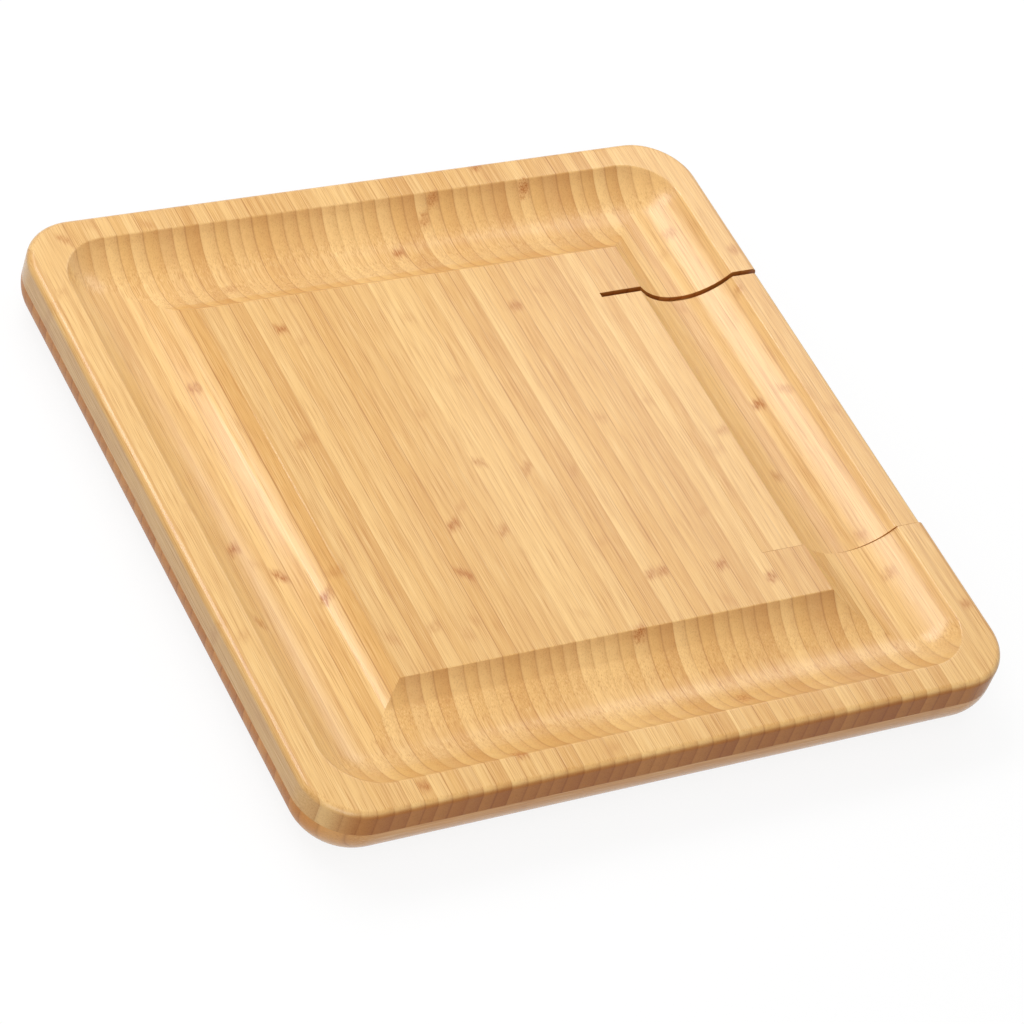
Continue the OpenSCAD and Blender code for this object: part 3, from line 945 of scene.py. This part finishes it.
# %% [markdown]
# The blades are stainless steel, ground and brushed along their length, so their lines are long
# and a few tenths of a millimetre apart. The ferrules are pressed and polished and the pin is
# turned, so they mirror more and keep only faint marks. The magnets are plated with nickel,
# which is a little yellow.

# %% Metals
def brushed(name, colour, rough, line=0.35, length=40.0, depth=0.02):
    """A metal with fine lines along X. Line, length and depth are in millimetres."""
    made, tree, shader = material(name)
    coordinates = add(tree, "TexCoord")
    finer = (1 / length / MM, 1 / line / MM, 1 / line / MM)
    lines = add(tree, "VectorMath", {0: coordinates.outputs["Object"], 1: finer}, operation="MULTIPLY")
    noise = add(tree, "TexNoise", {"Vector": lines, "Scale": 1.0, "Detail": 4.0, "Roughness": 0.6})
    spread = add(tree, "MapRange", {0: noise, 1: 0.3, 2: 0.7, 3: rough * 0.75, 4: rough * 1.3})
    tree.links.new(spread.outputs[0], shader.inputs["Roughness"])
    shade = add(tree, "MapRange", {0: noise, 1: 0.3, 2: 0.7, 3: 0.9, 4: 1.05})
    tint = add(tree, "HueSaturation", {"Color": linear(colour), "Value": shade})
    tree.links.new(tint.outputs[0], shader.inputs["Base Color"])
    bump = add(tree, "Bump", {"Height": noise, "Strength": 0.15, "Distance": depth * MM})
    tree.links.new(bump.outputs[0], shader.inputs["Normal"])
    shader.inputs["Metallic"].default_value = 1.0
    return made


blade_steel = brushed("brushed_stainless_steel", "#b0b2b4", 0.42)
ferrule_steel = brushed("polished_stainless_steel", "#c2c3c5", 0.24, line=0.6, length=4.0, depth=0.001)
pin_steel = brushed("turned_steel", "#c4c6c8", 0.25, line=0.3, length=3.0, depth=0.001)
nickel = brushed("nickel_plating", "#cfc9bd", 0.2, line=0.8, length=0.8, depth=0.001)
print("metals", [metal.name for metal in (blade_steel, ferrule_steel, pin_steel, nickel)])

# %% [markdown]
# Each row gives a piece, the body it moves with, the imported node it replaces, the slot of its
# finish in the record and its material. The piece gets its body and material; the node is hidden.

# %% Dress and tie every piece
def finish_piece(piece, body, node, finish):
    """Gives a piece its material and body, and hides the node that it replaces."""
    piece.data.materials.clear()
    piece.data.materials.append(finish)
    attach(piece, body)
    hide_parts(node)


for piece, body, node, slot, finish in (
        (top, "board", "top_slab", "bamboo_top", top_bamboo),
        (cap, "drawer", "drawer_cap", "bamboo_top", cap_bamboo),
        (back_rail, "board", "back_rail", "bamboo_rail", rail_bamboo),
        (front_rail, "board", "front_rail", "bamboo_rail", rail_bamboo),
        (rear_rail, "board", "rear_rail", "bamboo_rail", rail_bamboo),
        (panel, "board", "base_panel", "bamboo_base", rail_bamboo),
        (tray, "drawer", "drawer_tray", "bamboo_tray", tray_bamboo),
        (back_runner, "board", "back_runner", "bamboo_tray", tray_bamboo),
        (front_runner, "board", "front_runner", "bamboo_tray", tray_bamboo),
        (pin, "board", "stop_pin", "steel_pin", pin_steel),
        (rail_magnets, "board", "rear_rail_magnets", "nickel_magnet", nickel),
        (tray_magnets, "drawer", "drawer_magnets", "nickel_magnet", nickel)):
    finish_piece(piece, body, node, finish)

for tool in TOOLS:
    finish_piece(handles[tool], "drawer", tool + "_handle", handle_bamboo)
    finish_piece(ferrules[tool], "drawer", tool + "_ferrule", ferrule_steel)
    finish_piece(blades[tool], "drawer", tool + "_blade", blade_steel)
print("tools dressed", len(TOOLS))

# %% [markdown]
# The floor is a plain white sheet, which keeps a faint shadow. The world is a pale sky, dimmer
# towards the horizon as in a studio. The camera sees it as white, and so do the lacquer and the
# steel that mirror it, but as light on the board it stays at its plain level.

# %% Floor
def shows_background(tree):
    """1 for a ray of the camera, or one mirrored or let through on its way to it, and else 0."""
    path = add(tree, "LightPath").outputs
    shown = add(tree, "Math", {0: path["Is Camera Ray"], 1: path["Is Glossy Ray"]}, operation="MAXIMUM")
    return add(tree, "Math", {0: shown, 1: path["Is Transmission Ray"]}, operation="MAXIMUM")


floor_side = 6.0
own_white = 0.86

bpy.ops.object.select_all(action="DESELECT")
bpy.ops.mesh.primitive_plane_add(size=floor_side)
floor = started("floor")
made, tree, shader = material("white_sheet")
seen = shows_background(tree)
# the sheet shows white, and throws back as much light as a pale grey one
tone = add(tree, "MixRGB", {"Fac": seen, "Color1": linear("#aaaaaa"), "Color2": linear("#fcfcfc")})
tree.links.new(tone.outputs[0], shader.inputs["Base Color"])
shader.inputs["Roughness"].default_value = 1.0
# most of that white is its own, so that the shadow on it stays faint
share = add(tree, "Math", {0: seen, 1: own_white}, operation="MULTIPLY")
glow = add(tree, "Emission", {"Color": (1, 1, 1, 1), "Strength": 1.0})
mixed = add(tree, "MixShader", {0: share, 1: shader, 2: glow})
tree.links.new(mixed.outputs[0], tree.nodes["Material Output"].inputs["Surface"])
floor.data.materials.append(made)
print("floor", floor_side, "m")

# %% World
sky_low, sky_high = 0.08, 0.86
start_height = 0.15
world = bpy.data.worlds.new("studio")
bpy.context.scene.world = world
world.use_nodes = True
sky = world.node_tree
sky.nodes.clear()
height = add(sky, "SeparateXYZ", {0: add(sky, "TexCoord").outputs["Generated"]}).outputs[2]
height = add(sky, "MapRange", {0: height, 1: start_height, 2: 1.0, 3: sky_low, 4: sky_high})
level = add(sky, "MapRange", {0: shows_background(sky), 3: height, 4: 1.0})
light = add(sky, "Background", {"Color": (1, 1, 1, 1), "Strength": level})
add(sky, "OutputWorld", {"Surface": light})
print("sky", sky_low, "to", sky_high)

# %% [markdown]
# Three soft lamps. The key is a long one, high behind the board, which shines back off the walls
# of the groove that lean to the left, as the photograph shows. A large one to the left of the
# camera fills the shadows, and a small one to the right gives the flat top its satin sheen.

# %% Lamps
def lamp(name, place, target, width, height, radiance):
    """A soft lamp, level on its longer side. Radiance is against the white of the background."""
    bpy.ops.object.select_all(action="DESELECT")
    bpy.ops.object.light_add(type="AREA", location=place)
    item = bpy.context.active_object
    item.name = name
    item.data.shape = "RECTANGLE"
    item.data.size, item.data.size_y = width, height
    item.data.energy = radiance * math.pi * width * height
    item.rotation_euler = (Vector(target) - Vector(place)).to_track_quat("-Z", "Y").to_euler()


lamp("key", (-0.29, 0.77, 1.19), (0, 0, board_top), 1.15, 0.5, 5.6)
lamp("fill", (-1.0, -1.15, 0.8), (0, 0, board_top), 1.2, 1.2, 2.2)
lamp("side", (0.58, 0.46, 0.56), (0, 0, board_top), 0.35, 0.35, 2.0)

# %% [markdown]
# The camera was worked out from the photograph's straight edges: a long lens, 44 degrees above
# the table, over the corner between the drawer's opposite side and the front.

# %% Camera
image_side = 1024
focal_pixels = 4160.5
sensor = 36.0
camera_place = Vector((-0.83809, -0.95326, 1.20319 + board_top))
camera_right = Vector((0.864717, -0.428323, 0.262304))
camera_down = Vector((-0.158956, -0.728785, -0.666037))
camera_ahead = Vector((0.476442, 0.534239, -0.698278))
camera_data = bpy.data.cameras.new("camera")
camera_data.sensor_width = sensor
camera_data.lens = sensor * focal_pixels / image_side
camera_data.clip_end = 20
camera = bpy.data.objects.new("camera", camera_data)
bpy.context.scene.collection.objects.link(camera)
turn = Matrix((camera_right, -camera_down, -camera_ahead)).transposed()
camera.matrix_world = Matrix.Translation(camera_place) @ turn.to_4x4()
bpy.context.scene.camera = camera
bpy.context.scene.view_settings.view_transform = "Standard"
print("lens", round(camera_data.lens, 2))
